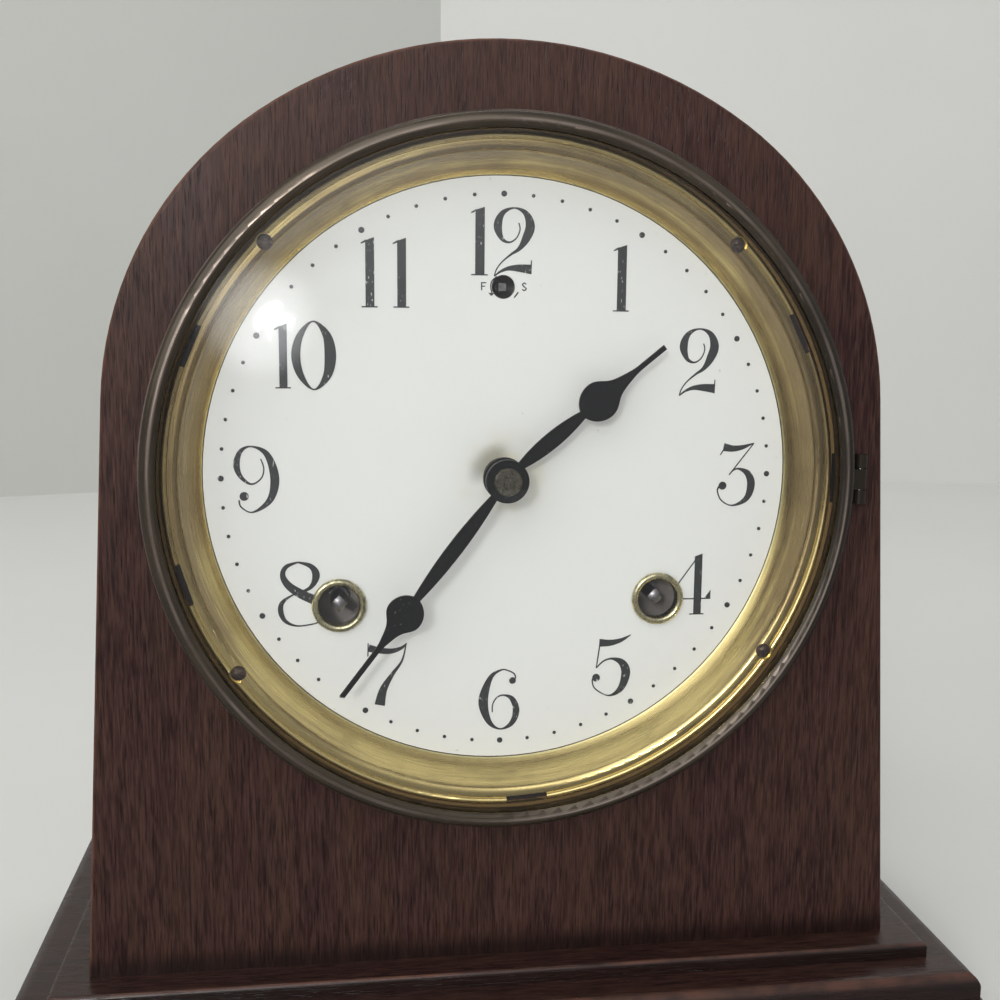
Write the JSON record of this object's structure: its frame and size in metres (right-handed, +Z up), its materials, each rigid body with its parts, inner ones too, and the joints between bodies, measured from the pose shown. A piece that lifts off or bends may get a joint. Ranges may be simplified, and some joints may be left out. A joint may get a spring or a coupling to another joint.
{
  "type": "shelf clock",
  "caption": "Round-topped wooden shelf clock on a stepped base, with a hinged domed-glass door over a numbered dial, hands, wound movement, pendulum and back door.",
  "frame": {"origin": "centre of the underside of the base", "axes": "+Z up, +Y towards the back of the clock, +X to the right as the viewer faces the dial"},
  "size_m": [0.2402, 0.1216, 0.2462],
  "materials": {
    "case_veneer": "dark brown veneer under satin varnish",
    "base_veneer": "dark brown veneer with the grain along the base",
    "back_wood": "stained softwood, matt",
    "back_tin": "dark lacquered sheet",
    "dial_paint": "aged off-white paint",
    "ring_brass": "brushed, lightly tarnished",
    "rim_brass": "tarnished brown",
    "retainer_brass": "dull",
    "clear_glass": "clear and polished",
    "hand_black": "black, slight satin",
    "steel": "plain steel",
    "spring_steel": "blued",
    "stand_iron": "black painted iron",
    "movement_brass": "plain rolled brass"
  },
  "bodies": {
    "case": {"base_plinth": "base_veneer", "base_moulding": "base_veneer", "base_cap": "case_veneer", "front_board": "case_veneer", "case_shell": "case_veneer", "back_board": "back_wood", "back_leaf": "back_tin", "back_pin": "steel", "dial_plate": "dial_paint", "sight_ring": "ring_brass", "sight_ring_screws": "steel", "winding_eyelets": "ring_brass", "case_leaf": "rim_brass", "bezel_pin": "steel", "front_plate": "movement_brass", "back_plate": "movement_brass", "plate_pillars": "movement_brass", "pillar_nuts": "steel", "movement_posts": "movement_brass", "movement_screws": "steel", "time_mainspring": "spring_steel", "strike_mainspring": "spring_steel", "suspension_post": "movement_brass", "gong_coil": "spring_steel", "gong_stand": "stand_iron", "gong_screws": "steel"},
    "bezel": {"bezel_ring": "rim_brass", "bezel_glass": "clear_glass", "glass_retainer": "retainer_brass", "bezel_leaf": "rim_brass"},
    "back_door": {"back_door": "back_tin", "back_door_knob": "movement_brass"},
    "minute": {"minute_hand": "hand_black", "hand_nut": "hand_black", "centre_arbor": "steel"},
    "hour": {"hour_hand": "hand_black", "hour_wheel": "movement_brass"},
    "minute_wheel": {"minute_wheel": "movement_brass"},
    "centre_pinion": {"centre_pinion": "movement_brass"},
    "escape": {"escape_wheel": "movement_brass"},
    "fly": {"fly": "movement_brass"},
    "pendulum": {"pendulum_rod": "steel", "pendulum_bob": "movement_brass"},
    "verge": {"verge": "steel"},
    "regulator": {"regulator_arbor": "steel"},
    "slide": {"suspension_slide": "movement_brass"},
    "hammer": {"hammer": "steel"},
    "time_great": {"time_great_wheel": "movement_brass"},
    "time_winding": {"time_winding_arbor": "steel"},
    "time_click": {"time_click": "steel"},
    "time_second": {"time_second_wheel": "movement_brass"},
    "time_third": {"time_third_wheel": "movement_brass"},
    "strike_great": {"strike_great_wheel": "movement_brass"},
    "strike_winding": {"strike_winding_arbor": "steel"},
    "strike_click": {"strike_click": "steel"},
    "strike_second": {"strike_second_wheel": "movement_brass"},
    "strike_third": {"strike_third_wheel": "movement_brass"}
  },
  "joints": [
    {"name": "bezel_hinge", "type": "hinge", "parent": "case", "child": "bezel", "pos_m": [0.0861, -0.04235, 0.1467], "axis": [0, 0, 1], "range_deg": [0, 105]},
    {"name": "back_door_hinge", "type": "hinge", "parent": "case", "child": "back_door", "pos_m": [0.0611, 0.05555, 0.1387], "axis": [0, 0, -1], "range_deg": [0, 110]},
    {"name": "minute_arbor", "type": "hinge", "parent": "case", "child": "minute", "pos_m": [0, -0.04005, 0.1467], "axis": [0, 1, 0], "continuous": true},
    {"name": "minute_wheel_spin", "type": "hinge", "parent": "case", "child": "minute_wheel", "pos_m": [-0.00979, -0.02325, 0.14214], "axis": [0, 1, 0], "continuous": true},
    {"name": "hour_pipe", "type": "hinge", "parent": "case", "child": "hour", "pos_m": [0, -0.03645, 0.1467], "axis": [0, 1, 0], "continuous": true},
    {"name": "centre_pinion_spin", "type": "hinge", "parent": "case", "child": "centre_pinion", "pos_m": [0, 0.01115, 0.1467], "axis": [0, 1, 0], "continuous": true},
    {"name": "escape_spin", "type": "hinge", "parent": "case", "child": "escape", "pos_m": [0.00001, -0.00065, 0.17062], "axis": [0, 1, 0], "continuous": true},
    {"name": "fly_spin", "type": "hinge", "parent": "case", "child": "fly", "pos_m": [-0.02187, -0.00065, 0.1768], "axis": [0, 1, 0], "continuous": true},
    {"name": "pendulum_swing", "type": "hinge", "parent": "case", "child": "pendulum", "pos_m": [0, 0.02595, 0.1962], "axis": [0, 1, 0], "range_deg": [-4, 4]},
    {"name": "verge_rock", "type": "hinge", "parent": "case", "child": "verge", "pos_m": [0.00001, -0.00065, 0.18413], "axis": [0, 1, 0], "range_deg": [-6, 6]},
    {"name": "regulator_turn", "type": "hinge", "parent": "case", "child": "regulator", "pos_m": [0, -0.00065, 0.1918], "axis": [0, 1, 0], "range_deg": [-46, 46]},
    {"name": "suspension_travel", "type": "slide", "parent": "case", "child": "slide", "axis": [0, 0, 1], "range_m": [-0.00085, 0.00085]},
    {"name": "hammer_lift", "type": "hinge", "parent": "case", "child": "hammer", "pos_m": [-0.055, 0.03475, 0.1547], "axis": [0, 1, 0], "range_deg": [0, 12]},
    {"name": "time_great_spin", "type": "hinge", "parent": "case", "child": "time_great", "pos_m": [0.0394, 0.00275, 0.1156], "axis": [0, 1, 0], "continuous": true},
    {"name": "time_second_spin", "type": "hinge", "parent": "case", "child": "time_second", "pos_m": [0.02355, -0.00065, 0.14364], "axis": [0, 1, 0], "continuous": true},
    {"name": "time_third_spin", "type": "hinge", "parent": "case", "child": "time_third", "pos_m": [0.01351, -0.00065, 0.16251], "axis": [0, 1, 0], "continuous": true},
    {"name": "time_winding", "type": "hinge", "parent": "time_great", "child": "time_winding", "pos_m": [0.0394, -0.00065, 0.1156], "axis": [0, 1, 0], "continuous": true},
    {"name": "time_click_turn", "type": "hinge", "parent": "time_great", "child": "time_click", "pos_m": [0.0544, 0.00275, 0.1156], "axis": [0, 1, 0], "range_deg": [0, 10], "stiffness_Nm_per_rad": 0.002},
    {"name": "strike_great_spin", "type": "hinge", "parent": "case", "child": "strike_great", "pos_m": [-0.0394, 0.00275, 0.1156], "axis": [0, 1, 0], "continuous": true},
    {"name": "strike_second_spin", "type": "hinge", "parent": "case", "child": "strike_second", "pos_m": [-0.03106, -0.00065, 0.14672], "axis": [0, 1, 0], "continuous": true},
    {"name": "strike_third_spin", "type": "hinge", "parent": "case", "child": "strike_third", "pos_m": [-0.03477, -0.00065, 0.16776], "axis": [0, 1, 0], "continuous": true},
    {"name": "strike_winding", "type": "hinge", "parent": "strike_great", "child": "strike_winding", "pos_m": [-0.0394, -0.00065, 0.1156], "axis": [0, 1, 0], "continuous": true},
    {"name": "strike_click_turn", "type": "hinge", "parent": "strike_great", "child": "strike_click", "pos_m": [-0.0544, 0.00275, 0.1156], "axis": [0, -1, 0], "range_deg": [0, 10], "stiffness_Nm_per_rad": 0.002}
  ],
  "couplings": [
    {"joint": "minute_wheel_spin", "follows": "minute_arbor", "ratio": -0.33333},
    {"joint": "hour_pipe", "follows": "minute_arbor", "ratio": 0.083333},
    {"joint": "centre_pinion_spin", "follows": "time_third_spin", "ratio": 0.5},
    {"joint": "escape_spin", "follows": "time_third_spin", "ratio": -8},
    {"joint": "fly_spin", "follows": "strike_third_spin", "ratio": -8},
    {"joint": "verge_rock", "follows": "pendulum_swing", "ratio": 1.4107},
    {"joint": "regulator_turn", "follows": "suspension_travel", "rad_per_m": 925.93},
    {"joint": "time_second_spin", "follows": "time_third_spin", "ratio": -0.125},
    {"joint": "time_great_spin", "follows": "time_third_spin", "ratio": 0.011905},
    {"joint": "strike_second_spin", "follows": "strike_third_spin", "ratio": -0.125},
    {"joint": "strike_great_spin", "follows": "strike_third_spin", "ratio": 0.011905}
  ]
}
